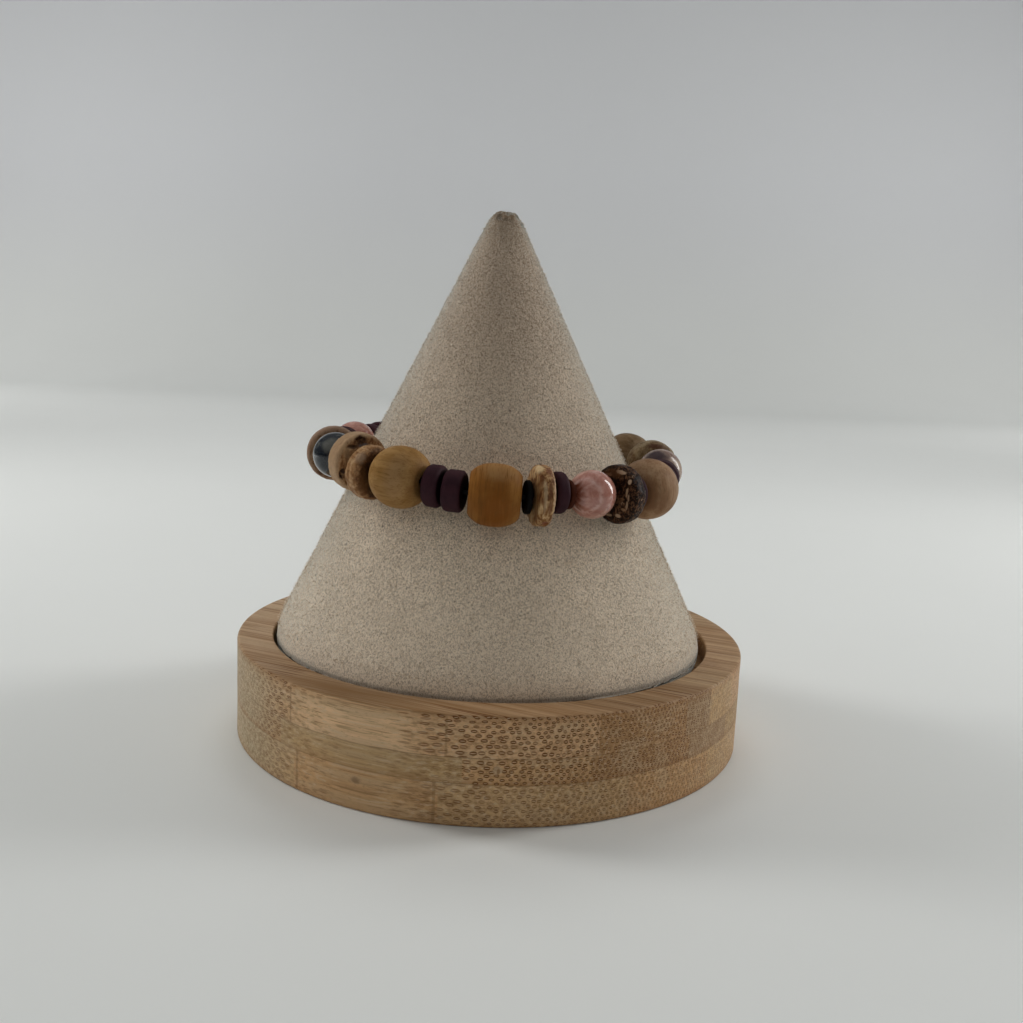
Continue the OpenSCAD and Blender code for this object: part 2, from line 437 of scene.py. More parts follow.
def bamboo_material():
    s = Shader("bamboo_laminate", 0.12, Roughness=0.5, Coat_Weight=0.04, Coat_Roughness=0.4)
    along = s.mapped(s.mm, turn=(0, 0, math.radians(FIBRE_TURN)))
    x = s.split(s.mm)[0]
    u, v, z = s.split(along)
    level = s.plus(z, s.times(s.less(s.noise(s.mm, 0.12, 2), 0.5), 0.3))
    top = s.fit(level, PLY_TOP - 0.05, PLY_TOP + 0.05)
    low = s.fit(level, PLY_LOW + 0.05, PLY_LOW - 0.05)

    def by_ply(blend, of_top, of_middle, of_low):
        return blend(top, blend(low, of_middle, of_low), of_top)

    across = s.fit(v, -BASE_R, BASE_R, smooth=False)
    plies = []
    for rows in (TOP_STRIPS, MIDDLE_STRIPS, LOW_STRIPS):
        stops = [(max(0.0, (start + BASE_R) / (2 * BASE_R)), (*tint, dots)) for start, tint, dots in rows]
        plies.append(s.ramp(across, stops, "CONSTANT"))
    tint = by_ply(s.mix, *(ply[0] for ply in plies))
    strength = by_ply(s.lerp, *(ply[1] for ply in plies))
    # Depth in a ply, 0 at its pith side and 1 at its skin side
    depth = by_ply(s.lerp, s.fit(z, PLY_TOP, BASE_H, smooth=False), s.fit(z, PLY_TOP, PLY_LOW, smooth=False),
                   s.fit(z, PLY_LOW, 0.0, smooth=False))
    # At the front left the fibres graze the side and the bundles are streaks, and past that the side is
    # painted pale, as painted light
    calm = s.times(s.fit(u, 13, 4), s.fit(u, -17, -8))
    left = s.fit(u, -9, -27)
    # The flat ring on top
    face = s.fit(z, BASE_H - 0.35, BASE_H - 0.05)
    dark, core, share = fibre_dots(s, along, by_ply, depth, strength, calm, left)

    # Fibres that run along the strips: broad bands, streaks, threads and hairs
    band = s.noise(s.mapped(along, scale=(0.012, 0.42, 0.42)), 1.0, 2, 0.5)
    streak = s.noise(s.mapped(along, scale=(0.03, 1.5, 1.3)), 1.0, 3, 0.65)
    thread = s.noise(s.mapped(along, scale=(0.03, 0.8, 1.0)), 1.0, 3, 0.7)
    hair = s.noise(s.mapped(along, scale=(0.045, 2.9, 2.4)), 1.0, 2, 0.6)
    mottle = s.noise(s.mapped(along, scale=(1.2, 3.4, 3.4)), 1.0, 2, 0.6)
    colour = s.layers(tint,
                      ((0.90, 0.62, 0.36), calm, s.plus(0.10, s.times(top, 0.68))),
                      # Painted light: the left side painted pale
                      ((0.50, 0.420, 0.275), left, 0.85),
                      ((0.72, 0.57, 0.38), face, 0.30))
    streaky = s.mix(s.lerp(calm, 0.42, 0.24), colour, (0.25, 0.130, 0.05))
    colour = s.layers(s.mix(s.fit(streak, 0.34, 0.64), streaky, colour),
                      ((0.60, 0.44, 0.27), s.fit(band, 0.45, 0.66), 0.35),
                      ((0.22, 0.120, 0.05), s.fit(hair, 0.52, 0.68), s.lerp(face, 0.45, 0.75)),
                      # The ring is painted darker in front and at the right, as painted shade, and paler at
                      # the left, as painted light
                      ((0.285, 0.196, 0.112), face, s.fit(v, -26, -42), 0.80),
                      ((0.66, 0.500, 0.335), face, s.fit(x, -22, -42), 0.55),
                      ((0.24, 0.170, 0.10), face, s.fit(x, 10, 40), 0.30),
                      ((0.25, 0.145, 0.065), face, s.fit(thread, 0.50, 0.62), 0.75),
                      ((0.72, 0.52, 0.32), face, s.fit(thread, 0.47, 0.34), 0.50),
                      ((0.70, 0.54, 0.35), s.fit(hair, 0.46, 0.32), 0.5),
                      ((0.24, 0.135, 0.06), s.fit(mottle, 0.52, 0.76), 0.30),
                      (SKIN_BROWN, s.fit(depth, 0.70, 1.0), s.plus(0.12, s.times(strength, 0.30))),
                      (s.mix(calm, DOT_BROWN, STREAK_BROWN), dark),
                      (PALE_CORE, core, share, s.less(1.0, calm), 0.45))
    colour = s.paint(colour, BAMBOO_MARKS)

    # Dark glue lines between the plies and at the joints of the strips
    for height in (PLY_LOW, PLY_TOP):
        line = s.fit(s.math("ABSOLUTE", s.less(level, height)), 0.13, 0.03)
        colour = s.layers(colour, (GLUE_BROWN, line, 0.35))
    for ply, joints in ((top, TOP_JOINTS), (low, LOW_JOINTS)):
        for joint in joints:
            line = s.times(ply, s.fit(s.math("ABSOLUTE", s.less(v, joint)), 0.09, 0.03))
            colour = s.layers(colour, (GLUE_BROWN, line, 0.35))
    height = s.less(s.times(hair, 0.35), s.times(dark, 0.9))
    return s.finish(colour, s.fit(hair, 0.3, 0.7, 0.44, 0.58), s.bump(height, 0.06, 0.7))


def make_base():
    inner = (RECESS_R + RECESS_EDGE, BASE_H - RECESS_EDGE, RECESS_EDGE)
    upper = (BASE_R - BASE_EDGE, BASE_H - BASE_EDGE, BASE_EDGE)
    lower = (BASE_R - BASE_EDGE, BASE_EDGE, BASE_EDGE)
    outline = ([(0.0, RECESS_FLOOR), (RECESS_R - 0.02, RECESS_FLOOR)] + arc(*inner, 180, 90, 6)
               + arc(*upper, 90, 0, 8) + arc(*lower, 0, -90, 8) + [(0.0, 0.0)])
    bm = lathe(evenly(outline, BASE_STEP), BASE_AROUND, False)
    for vert in bm.verts:
        if vert.co.xy.length > RECESS_R and vert.co.z > 0.2:
            vert.co.xy -= vert.co.xy.normalized() * abs(lumps(vert.co, BASE_LUMPS))
    settle(new_object("base_bamboo", bm, bamboo_material()), "bamboo", "bamboo_base")


make_base()

# Suede cone: a blunt tip, a straight side, a soft bend and a turned-in lower edge
CONE_APEX, CONE_SLOPE, CONE_R, CONE_SHIFT = 98.5, 0.4924, 39.2, 0.4
TIP_R, TIP_RISE, BEND_R, TURN_R, SEAT = 2.5, 0.9, 9.0, 4.3, 12.5
CONE_STEP, CONE_AROUND = 0.44, 290
CONE_LUMPS = ((0.11, 0.10), (0.45, 0.05), (1.9, 0.08))
# The suede is painted paler low down than at the top, as painted light
SUEDE_TOP, SUEDE_LOW_LIT, SUEDE_CLOUD = (0.55, 0.400, 0.280), (0.99, 0.81, 0.61), (0.34, 0.26, 0.185)
# Stains of the worn tip, and one speck on the side: middle, reach, tint, share, softness
SUEDE_MARKS = [((-0.4, -2.9, 92.5), (1.4, 1.2, 0.35), (0.085, 0.058, 0.035), 0.40, 0.4),
               ((0.2, -2.2, 93.4), (1.7, 1.2, 0.8), (0.27, 0.17, 0.09), 0.6, 0.5),
               ((-1.6, -2.2, 93.0), (0.6, 1.2, 0.8), (0.11, 0.085, 0.06), 0.45, 0.5),
               ((1.9, -1.5, 93.4), (0.5, 1.2, 0.6), (0.07, 0.065, 0.045), 0.7, 0.4),
               ((2.5, -1.0, 91.6), (0.35, 1.2, 0.6), (0.08, 0.08, 0.07), 0.6, 0.4),
               ((-2.0, -26.5, 68.6), (0.55, 1.2, 0.35), (0.16, 0.15, 0.16), 0.5, 0.5)]


def suede_tint(s):
    """Colour of the suede, painted paler low down as painted light."""
    cloud = s.noise(s.mm, 0.07, 3, 0.5)
    base = s.mix(s.fit(s.split(s.mm)[2], 82, 40), SUEDE_TOP, SUEDE_LOW_LIT)
    return s.layers(base, (SUEDE_CLOUD, s.fit(cloud, 0.35, 0.7), 0.16))


def suede_material():
    s = Shader("suede", 0.1, Roughness=0.95, Sheen_Weight=0.9, Sheen_Roughness=0.35,
               Sheen_Tint=(0.86, 1.0, 0.98))
    z = s.split(s.mm)[2]
    nap = s.noise(s.mapped(s.mm, scale=(1, 1, 0.75)), 4.2, 2, 0.65, 1.0)
    fleck = s.noise(s.mapped(s.mm, move=(9, 3, 5), scale=(1, 1, 0.8)), 2.4, 2, 0.6, 0.5)
    speck = s.cells(s.mm, 0.16)[0]
    fray = s.noise(s.mapped(s.mm, scale=(1.6, 1.6, 0.6)), 1.0, 3, 0.6)
    worn = s.plus(z, s.times(s.less(fray, 0.5), 5.0))
    base = suede_tint(s)
    # The gaps in the nap are painted less dark at the foot, as painted light against the shade of the ring
    gap = s.lerp(s.fit(z, 38, 22), 0.69, 0.54)
    colour = s.mix(s.fit(nap, 0.35, 0.57), s.mix(gap, base, (0.22, 0.150, 0.096)),
                   s.mix(0.24, base, (0.99, 0.89, 0.74)))
    colour = s.layers(colour,
                      ((0.16, 0.12, 0.085), s.fit(fleck, 0.58, 0.72), 0.42),
                      ((0.08, 0.055, 0.045), s.fit(speck, 0.055, 0.02), 0.7),
                      # Painted shade as a dark line in the gap at the foot, then the worn tip
                      ((0.14, 0.100, 0.07), s.fit(z, 17.9, 17.2), 0.55),
                      ((0.21, 0.15, 0.095), s.fit(worn, 86.0, 92.5), 0.45),
                      ((0.13, 0.085, 0.045), s.fit(worn, 92.2, 93.8), 0.30))
    return s.finish(s.paint(colour, SUEDE_MARKS), None, s.bump(s.plus(nap, s.times(fleck, 0.6)), 0.18, 0.8))


def nap_material():
    s = Shader("nap", 0.05, Roughness=0.9)
    fibre = s.noise(s.mm, 3.0, 2)
    colour = s.mix(s.fit(fibre, 0.40, 0.60), s.mix(0.40, suede_tint(s), (0.20, 0.145, 0.10)),
                   s.mix(0.16, suede_tint(s), (0.30, 0.23, 0.165)))
    # The tips are painted pale, a painted sheen, which shows where the cone is seen edge on
    x, y, z = s.split(s.mm)
    from_axis = s.length(s.join(s.plus(x, CONE_SHIFT), y, 0.0))
    stand = s.less(from_axis, s.times(s.less(CONE_APEX, z), CONE_SLOPE))
    return s.finish(s.layers(colour, ((1.0, 0.94, 0.82), s.fit(stand, 0.0, 0.30), 0.9)))


def cone_outline():
    lean = math.atan(CONE_SLOPE)
    bend_x = CONE_R - BEND_R
    bend_z = CONE_APEX - (bend_x + BEND_R * math.cos(lean)) / CONE_SLOPE - BEND_R * math.sin(lean)
    tip_z = CONE_APEX - TIP_R / CONE_SLOPE
    dome_r = (TIP_R ** 2 + TIP_RISE ** 2) / (2 * TIP_RISE)
    half = math.degrees(math.asin(TIP_R / dome_r))
    return ([(0, SEAT)] + arc(CONE_R - TURN_R, SEAT + TURN_R, TURN_R, -90, 0, 10)
            + arc(bend_x, bend_z, BEND_R, 0, math.degrees(lean), 8)
            + arc(0, tip_z + TIP_RISE - dome_r, dome_r, 90 - half, 90, 6)[:-1] + [(0, tip_z + TIP_RISE)])


# Height where the tip starts to fray, and the height over which it comes in
FRAY_FROM, FRAY_OVER = 92.2, 1.6


def cone_push(p):
    """How far the suede stands inside the plain cone at a point on it."""
    frayed = max(0.0, min(1.0, (p.z - FRAY_FROM) / FRAY_OVER))
    bite = frayed * (0.30 + 0.75 * noise.noise(p * 0.95 + Vector((4, 4, 4))))
    return 0.04 - min(lumps(p, CONE_LUMPS), 0.06) + max(0.0, bite)


def make_cone():
    bm = lathe(evenly(cone_outline(), CONE_STEP), CONE_AROUND, False)
    for vert in bm.verts:
        if vert.co.z > SEAT + 0.5:
            out = Vector((vert.co.x, vert.co.y, max(vert.co.xy.length, 0.5) * CONE_SLOPE)).normalized()
            vert.co -= out * cone_push(vert.co)
    bmesh.ops.translate(bm, vec=(-CONE_SHIFT, 0, 0), verts=bm.verts)
    settle(new_object("cone_suede", bm, suede_material()), "suede", "suede_cone")


# Nap fibres: how many, between which heights, and in mm their length and thickness
NAP_COUNT, NAP_LOW, NAP_HIGH = 40000, 19.5, 93.0
NAP_TALL, NAP_THICK = (0.45, 0.95), (0.03, 0.05)
# How much a fibre stands up for each part that it lies over, and how deep its foot sits
NAP_STAND, NAP_FOOT = (0.4, 1.3), 0.04


def make_nap():
    """Short pale fibres that stand out of the suede, each a closed three-sided spike."""
    lean = math.atan(CONE_SLOPE)
    bm = bmesh.new()
    low_r = (CONE_APEX - NAP_LOW) * CONE_SLOPE
    least = (CONE_APEX - NAP_HIGH) ** 2 / (CONE_APEX - NAP_LOW) ** 2
    for _ in range(NAP_COUNT):
        # More fibres where the cone is wide
        r = low_r * math.sqrt(random.uniform(least, 1.0))
        turn = random.uniform(0, 2 * math.pi)
        out = Vector((math.cos(turn) * math.cos(lean), math.sin(turn) * math.cos(lean), math.sin(lean)))
        foot = Vector((r * math.cos(turn), r * math.sin(turn), CONE_APEX - r / CONE_SLOPE))
        foot -= out * (cone_push(foot) + NAP_FOOT)
        across = out.orthogonal().normalized()
        other = out.cross(across)
        lie = random.uniform(0, 2 * math.pi)
        flat = across * math.cos(lie) + other * math.sin(lie)
        tip = (out * random.uniform(*NAP_STAND) + flat).normalized()
        tall = random.uniform(*NAP_TALL)
        thick = random.uniform(*NAP_THICK)
        ring = [bm.verts.new(foot + (across * math.cos(t) + other * math.sin(t)) * thick)
                for t in (0, 2 * math.pi / 3, 4 * math.pi / 3)]
        point = bm.verts.new(foot + tip * tall)
        bm.faces.new(ring[::-1])
        for k in range(3):
            bm.faces.new((ring[k], ring[(k + 1) % 3], point))
    bmesh.ops.translate(bm, vec=(-CONE_SHIFT, 0, 0), verts=bm.verts)
    settle(new_object("cone_nap", bm, nap_material()), "suede")


make_cone()
make_nap()

# Beads, on a loop that leans on the cone: its middle, its lean and the direction in which it rises
LOOP_MIDDLE = Vector((0.15, -0.95, 50.0)) * MM
LOOP_TILT, LOOP_UPHILL = math.radians(4.4), math.radians(123.5)
LOOP_UP = Vector((-math.sin(LOOP_TILT) * math.cos(LOOP_UPHILL), -math.sin(LOOP_TILT) * math.sin(LOOP_UPHILL),
                  math.cos(LOOP_TILT)))
# Radii of the bores
WOOD_BORE, STONE_BORE = 0.8, 0.7
# Unevenness of a bead as shares of its depth, and the ragged edge of a dent
BEAD_LUMPS, DENT_LUMPS = ((0.4, 0.6), (1.6, 0.4)), ((2.2, 0.35),)


def bead_frame(node):
    """Place of a bead, with local X towards the middle of the loop, Y up and Z along the string, and
    half its length and its radius in mm."""
    low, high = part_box(node)
    middle = (low + high) / 2
    along = LOOP_UP.cross(middle - LOOP_MIDDLE).normalized()
    place = Matrix((LOOP_UP.cross(along), LOOP_UP, along)).transposed().to_4x4()
    place.translation = middle
    back = place.inverted()
    points = [back @ vert.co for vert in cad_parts[node].data.vertices]
    return place, max(abs(p.z) for p in points) / MM, max(p.xy.length for p in points) / MM


def ball(half, radius, bore, square=2.0):
    """Closed outline of a drilled ball. Above 2, square makes its sides fuller."""
    steps = 22
    end = math.sqrt(max(radius ** 2 - half ** 2, 0.0))
    if end > bore + 0.4:
        # Flat ends: the side curve passes through the rim of the end face
        end += 0.9 * (square - 2.0)
        tall = half / (1 - (end / radius) ** square) ** (1 / square)
        last = math.asin(min(1.0, (half / tall) ** (square / 2)))
        mouth = [(bore, half - 0.3), (bore + 0.3, half)]
    else:
        tall, last = radius, math.acos((bore + 0.12) / radius)
        mouth = [(bore, radius * math.sin(last) - 0.2), (bore + 0.02, radius * math.sin(last) - 0.03)]
    side = []
    for k in range(-steps, steps + 1):
        a = last * k / steps
        side.append((radius * math.cos(a) ** (2 / square),
                     math.copysign(tall * abs(math.sin(a)) ** (2 / square), a)))
    return [(r, -z) for r, z in mouth] + side + mouth[::-1]


def disc(half, radius, bore, edge):
    """Closed outline of a drilled disc with round edges."""
    edge = min(edge, half * 0.98)
    return ([(bore, -half + 0.15), (bore + 0.15, -half)]
            + arc(radius - edge, -half + edge, edge, -90, 0, 8)
            + arc(radius - edge, half - edge, edge, 0, 90, 8)
            + [(bore + 0.15, half), (bore, half - 0.15)])


def make_bead(node, slot, material, rough, seed, dents=(), step=0.3, around=120, **shape):
    """One bead, which takes its CAD node's place. rough is the depth of its unevenness in mm, and an edge
    makes it a disc."""
    place, half, radius = bead_frame(node)
    bore = WOOD_BORE if slot == "bead_wood" else STONE_BORE
    outline = disc(half, radius, bore, **shape) if "edge" in shape else ball(half, radius, bore, **shape)
    bm = lathe(evenly(outline, step), around, True)
    bmesh.ops.recalc_face_normals(bm, faces=bm.faces)
    bm.normal_update()
    shift = Vector((seed * 3.1, seed * 1.7, seed * 0.9))
    moved = []
    for vert in bm.verts:
        p = vert.co
        depth = 0.0
        if p.xy.length > bore + 0.4:
            # It fades in from the bore
            depth = abs(lumps(p, BEAD_LUMPS, shift)) * rough * min(1.0, (p.xy.length - bore) / (0.5 * radius))
            for middle, reach, deep in dents:
                away = Vector([(a - b) / c for a, b, c in zip(p, middle, reach)]).length
                away += lumps(p, DENT_LUMPS, shift)
                depth += deep * max(0.0, 1 - max(0.0, away) ** 2) ** 1.5
        moved.append(p - vert.normal * depth)
    for vert, p in zip(bm.verts, moved):
        vert.co = p
    settle(new_object(f"look_{node}", bm, material, place), slot, node)


def wood_material(name, light, dark, seed, along, patches, lines):
    """Turned wood. along says how its grain lies: along the string, round it, or upright."""
    stretch = {"string": (1, 1, 0.08), "round": (0.08, 0.08, 1), "upright": (1, 0.08, 1)}[along]
    s = Shader(name, 0.09, Roughness=0.55)
    p = s.mapped(s.mapped(s.mm, move=(seed, 2 * seed, 0)), scale=stretch)
    figure = s.noise(p, 0.55, 3, 0.6, 0.3)
    fibre = s.noise(p, 3.2, 3, 0.6)
    pores = s.noise(p, 6.5, 2, 0.5)
    cloud = s.noise(s.mapped(s.mm, move=(0, seed, 0)), 0.3, 2)
    colour = s.mix(s.fit(s.plus(s.times(figure, 0.6), s.times(cloud, 0.4)), 0.36, 0.64), light, dark)
    deep = s.mix(0.55, colour, tuple(0.35 * c for c in dark))
    colour = s.layers(s.paint(colour, patches, 0.35, 0.9), (deep, s.fit(fibre, 0.48, 0.72), 0.672))
    colour = s.layers(colour, (s.mix(0.5, colour, light), s.fit(fibre, 0.46, 0.28), 0.48),
                      (deep, s.fit(pores, 0.58, 0.74), 0.72))
    z = s.split(s.mm)[2]
    for at, width in lines:
        groove = s.fit(s.math("ABSOLUTE", s.less(z, at)), width, 0.3 * width)
        colour = s.layers(colour, (deep, groove, 0.45))
    return s.finish(colour, s.fit(fibre, 0.3, 0.7, 0.48, 0.62),
                    s.bump(s.plus(s.times(fibre, -0.4), s.times(pores, -0.6)), 0.03, 0.5))


def plum_material(name, seed, radius):
    """Dyed disc: a dark plum side, flat faces painted near black as painted shade, and a rim paler towards
    the top in dusty spots, as dust and painted light.
    """
    s = Shader(name, 0.10, Roughness=0.6)
    p = s.mapped(s.mm, move=(seed, 1.7 * seed, 0))
    cloud, dust = s.noise(p, 0.5, 3, 0.6), s.noise(p, 5.0, 3, 0.7)
    scratch = s.noise(s.mapped(p, scale=(1.0, 1.0, 7.0)), 1.2, 2, 0.6)
    x, y, _ = s.split(s.mm)
    out = s.length(s.join(x, y, 0.0))
    colour = s.mix(s.fit(cloud, 0.32, 0.68), (0.034, 0.0125, 0.018), (0.048, 0.017, 0.023))
    colour = s.layers(colour,
                      ((0.075, 0.045, 0.047), s.fit(dust, 0.58, 0.75), 0.30),
                      ((0.018, 0.007, 0.010), s.fit(scratch, 0.55, 0.72), 0.3),
                      # Flat faces painted near black: painted shade where they face the next bead
                      ((0.008, 0.003, 0.004), s.fit(out, radius - 0.35, radius - 0.85)),
                      # The top of the rim paler in dusty spots: dust, and painted light from above
                      ((0.09, 0.045, 0.045), s.fit(y, 0.55 * radius, radius), s.fit(dust, 0.35, 0.65), 0.3))
    return s.finish(colour, s.fit(dust, 0.3, 0.7, 0.55, 0.68), s.bump(s.plus(dust, scratch), 0.03, 0.5))


def stone_material(name, stops, seed, grain=0.45, warp=1.2, swirl=(), patches=(), vein=None, rough=0.14,
                   coat=0.3):
    """Polished stone. A swirl is its middle and rows of radius, width, tint and share."""
    s = Shader(name, Roughness=rough, Coat_Weight=coat, Coat_Roughness=0.05)
    p = s.mapped(s.mm, move=(seed, -seed, 0.5 * seed))
    mist = s.noise(p, grain, 3, 0.55, warp)
    haze = s.noise(p, 3.0 * grain, 3, 0.6, 0.5)
    value = s.plus(s.times(s.fit(mist, 0.28, 0.72), 0.75), s.times(s.fit(haze, 0.3, 0.7), 0.25))
    colour = s.paint(s.ramp(value, stops)[0], patches, 0.3, 0.8)
    if swirl:
        middle, rings = swirl
        bent = s.vector("ADD", s.mm, s.vector("SUBTRACT", s.noise(p, 0.35, 2, out=1), (0.5, 0.5, 0.5)))
        away = s.length(s.vector("SUBTRACT", bent, middle))
        for radius, width, tint, share in rings:
            ring = s.fit(s.math("ABSOLUTE", s.less(away, radius)), width, 0.0)
            colour = s.layers(colour, (tint, ring, s.fit(mist, 0.34, 0.50), share))
    if vein is not None:
        thread = s.fit(s.math("ABSOLUTE", s.less(s.noise(p, 0.5, 3, 0.6, 1.0), 0.5)), 0.02, 0.0)
        colour = s.layers(colour, (vein, thread, 0.5))
    return s.finish(colour)


def nut_material(name, stops, seed, radius, patches, rim=None, streaks=(1.3, 0.6, 1.3), chips=None,
                 rough=0.55, specular=0.2):
    """Cut nut shell: cloudy, with strands, dust, and a rim and chips of another tint."""
    s = Shader(name, specular, Roughness=rough)
    p = s.mapped(s.mm, move=(seed, 2.3 * seed, -seed))
    cloud = s.noise(p, 0.33, 3, 0.6, 0.5)
    strand = s.noise(s.mapped(p, scale=streaks), 1.4, 4, 0.65, 0.4)
    dust = s.noise(p, 4.5, 3, 0.6)
    value = s.plus(s.times(s.fit(cloud, 0.30, 0.70), 0.4), s.times(s.fit(strand, 0.36, 0.64), 0.6))
    colour = s.ramp(value, stops)[0]
    if rim is not None:
        x, y, _ = s.split(s.mm)
        worn = s.plus(s.length(s.join(x, y, 0.0)), s.times(s.less(strand, 0.5), 1.2))
        colour = s.layers(colour, (rim, s.fit(worn, radius - 0.85, radius - 0.15), 0.75))
    if chips is not None:
        flake = s.noise(s.mapped(p, scale=(1.0, 0.55, 1.0)), 1.1, 3, 0.6, 1.2)
        colour = s.layers(colour, (chips, s.fit(flake, 0.66, 0.70), 0.7))
    colour = s.paint(colour, patches, 0.45, 1.6)
    colour = s.layers(colour, (s.mix(0.6, colour, (0.02, 0.01, 0.005)), s.fit(dust, 0.54, 0.75), 0.35))
    return s.finish(colour, None, s.bump(s.plus(strand, s.times(dust, 0.5)), 0.10, 0.8))


def spacer_material(name, tone):
    s = Shader(name, 0.06, Roughness=0.6)
    return s.finish(s.mix(s.noise(s.mm, 2.0, 3), tone, tuple(1.8 * c for c in tone)), None,
                    s.bump(s.noise(s.mm, 4.0, 3), 0.02, 0.4))


# Stops of the colour ramps, each a place and a tint
PINK = [(0.0, (0.37, 0.145, 0.105)), (0.35, (0.47, 0.205, 0.155)), (0.65, (0.55, 0.27, 0.21)),
        (1.0, (0.66, 0.39, 0.32))]
DARK = [(0.0, (0.004, 0.006, 0.010)), (0.45, (0.010, 0.015, 0.022)), (0.62, (0.035, 0.040, 0.042)),
        (0.8, (0.10, 0.10, 0.088)), (1.0, (0.025, 0.038, 0.052))]
MAUVE = [(0.0, (0.15, 0.085, 0.080)), (0.35, (0.30, 0.195, 0.150)), (0.7, (0.42, 0.30, 0.22)),
         (1.0, (0.50, 0.38, 0.29))]
TAN_NUT = [(0.0, (0.16, 0.068, 0.024)), (0.35, (0.33, 0.165, 0.068)), (0.65, (0.47, 0.275, 0.130)),
           (1.0, (0.60, 0.40, 0.22))]
BROWN_NUT = [(0.0, (0.12, 0.055, 0.025)), (0.4, (0.22, 0.12, 0.06)), (0.75, (0.30, 0.18, 0.10)),
             (1.0, (0.36, 0.24, 0.15))]
OLIVE_NUT = [(0.0, (0.10, 0.05, 0.022)), (0.3, (0.20, 0.13, 0.065)), (0.7, (0.29, 0.21, 0.115)),
             (1.0, (0.36, 0.28, 0.17))]
DARK_NUT = [(0.0, (0.005, 0.002, 0.001)), (0.48, (0.012, 0.004, 0.002)), (0.62, (0.050, 0.020, 0.009)),
            (1.0, (0.20, 0.100, 0.050))]
SHELL = [(0.0, (0.085, 0.028, 0.009)), (0.32, (0.20, 0.080, 0.026)), (0.5, (0.36, 0.185, 0.072)),
         (0.7, (0.50, 0.305, 0.140)), (1.0, (0.70, 0.49, 0.26))]
CREAM, PINK_VEIN = (0.50, 0.34, 0.22), (0.42, 0.19, 0.13)

# Marks of single beads, in the bead's own frame: middle, reach, tint, share, softness
# In wood bead 1 the second mark is a painted highlight on its top
HONEY_WOOD_MARKS_AND_HIGHLIGHT = [((-4.7, -1.2, 0.5), (4.0, 3.8, 2.7), (0.215, 0.070, 0.010), 0.9, 0.5),
                    ((-1.5, 4.4, 0.5), (3.5, 1.5, 3.0), (0.34, 0.195, 0.080), 0.6, 0.5)]
# In wood bead 6 the first mark is a painted highlight, a pale band on its front
PALE_WOOD_MARKS_AND_HIGHLIGHT = [((-4.3, 0.5, 2.0), (3.0, 3.6, 1.5), (0.44, 0.27, 0.14), 0.45, 0.8),
                   ((-1.0, 0.0, 4.4), (2.6, 3.0, 1.0), (0.19, 0.085, 0.028), 0.6, 0.5)]
# In wood bead 2 the first two marks are painted shadow at the end toward the discs beside it
GREY_WOOD_MARKS_AND_SHADOW = [((-1.9, -0.5, -4.3), (2.6, 2.6, 1.4), (0.17, 0.075, 0.033), 0.70, 0.5),
                   ((-4.2, -1.5, -2.7), (1.6, 2.6, 1.0), (0.22, 0.105, 0.052), 0.6, 0.5),
                   ((-4.9, 1.0, 1.5), (1.5, 3.0, 1.6), (0.46, 0.33, 0.22), 0.5, 0.5)]
NUT_1_MARKS = [((-1.2, 4.0, -1.6), (0.95, 0.30, 0.6), CREAM, 0.95, 0.3),
               ((1.2, 3.2, -1.7), (0.70, 0.22, 0.5), (0.30, 0.16, 0.09), 0.8, 0.3),
               ((0.4, 3.6, -1.7), (1.9, 0.75, 0.5), (0.13, 0.055, 0.020), 0.6, 0.4),
               ((-3.2, 2.8, -1.5), (0.30, 0.42, 0.5), CREAM, 0.9, 0.3),
               ((-3.0, 1.0, -1.7), (0.22, 0.75, 0.5), (0.42, 0.27, 0.16), 0.9, 0.3),
               ((-3.45, 0.2, -1.7), (0.20, 0.60, 0.5), CREAM, 0.8, 0.3),
               ((-3.3, -1.0, -1.7), (0.24, 0.70, 0.5), (0.45, 0.30, 0.19), 0.9, 0.3),
               ((-2.6, -1.9, -1.7), (0.55, 0.22, 0.5), (0.38, 0.24, 0.13), 0.8, 0.3),
               ((-1.6, -3.1, -1.7), (0.55, 0.28, 0.5), CREAM, 0.85, 0.3),
               ((0.2, -3.4, -1.7), (0.60, 0.20, 0.5), (0.42, 0.28, 0.17), 0.8, 0.3),
               ((-2.2, -0.2, -1.7), (0.45, 0.18, 0.5), (0.25, 0.13, 0.06), 0.8, 0.3)]
# In nut 6 the first three marks are painted shade, near black in the dents; the last is a painted highlight
# on the outer rim
NUT_6_MARKS_SHADE_AND_HIGHLIGHT = [((-3.8, -1.5, 1.6), (0.50, 0.90, 0.7), (0.03, 0.007, 0.003), 0.95, 0.3),
               ((-0.7, 3.8, 1.65), (1.15, 0.95, 0.7), (0.035, 0.010, 0.004), 0.97, 0.3),
               ((-2.2, 2.9, 1.70), (1.10, 0.35, 0.6), (0.04, 0.012, 0.004), 0.95, 0.4),
               ((-3.1, 1.9, 1.70), (0.40, 1.00, 0.6), (0.12, 0.050, 0.018), 0.7, 0.5),
               ((-1.4, 3.4, 1.75), (1.6, 0.55, 0.5), (0.16, 0.070, 0.028), 0.6, 0.5),
               ((0.1, 3.1, 1.75), (0.85, 0.35, 0.5), (0.17, 0.16, 0.16), 0.7, 0.4),
               ((-3.3, 2.4, 1.5), (1.0, 1.2, 0.7), (0.42, 0.26, 0.13), 0.5, 0.5)]
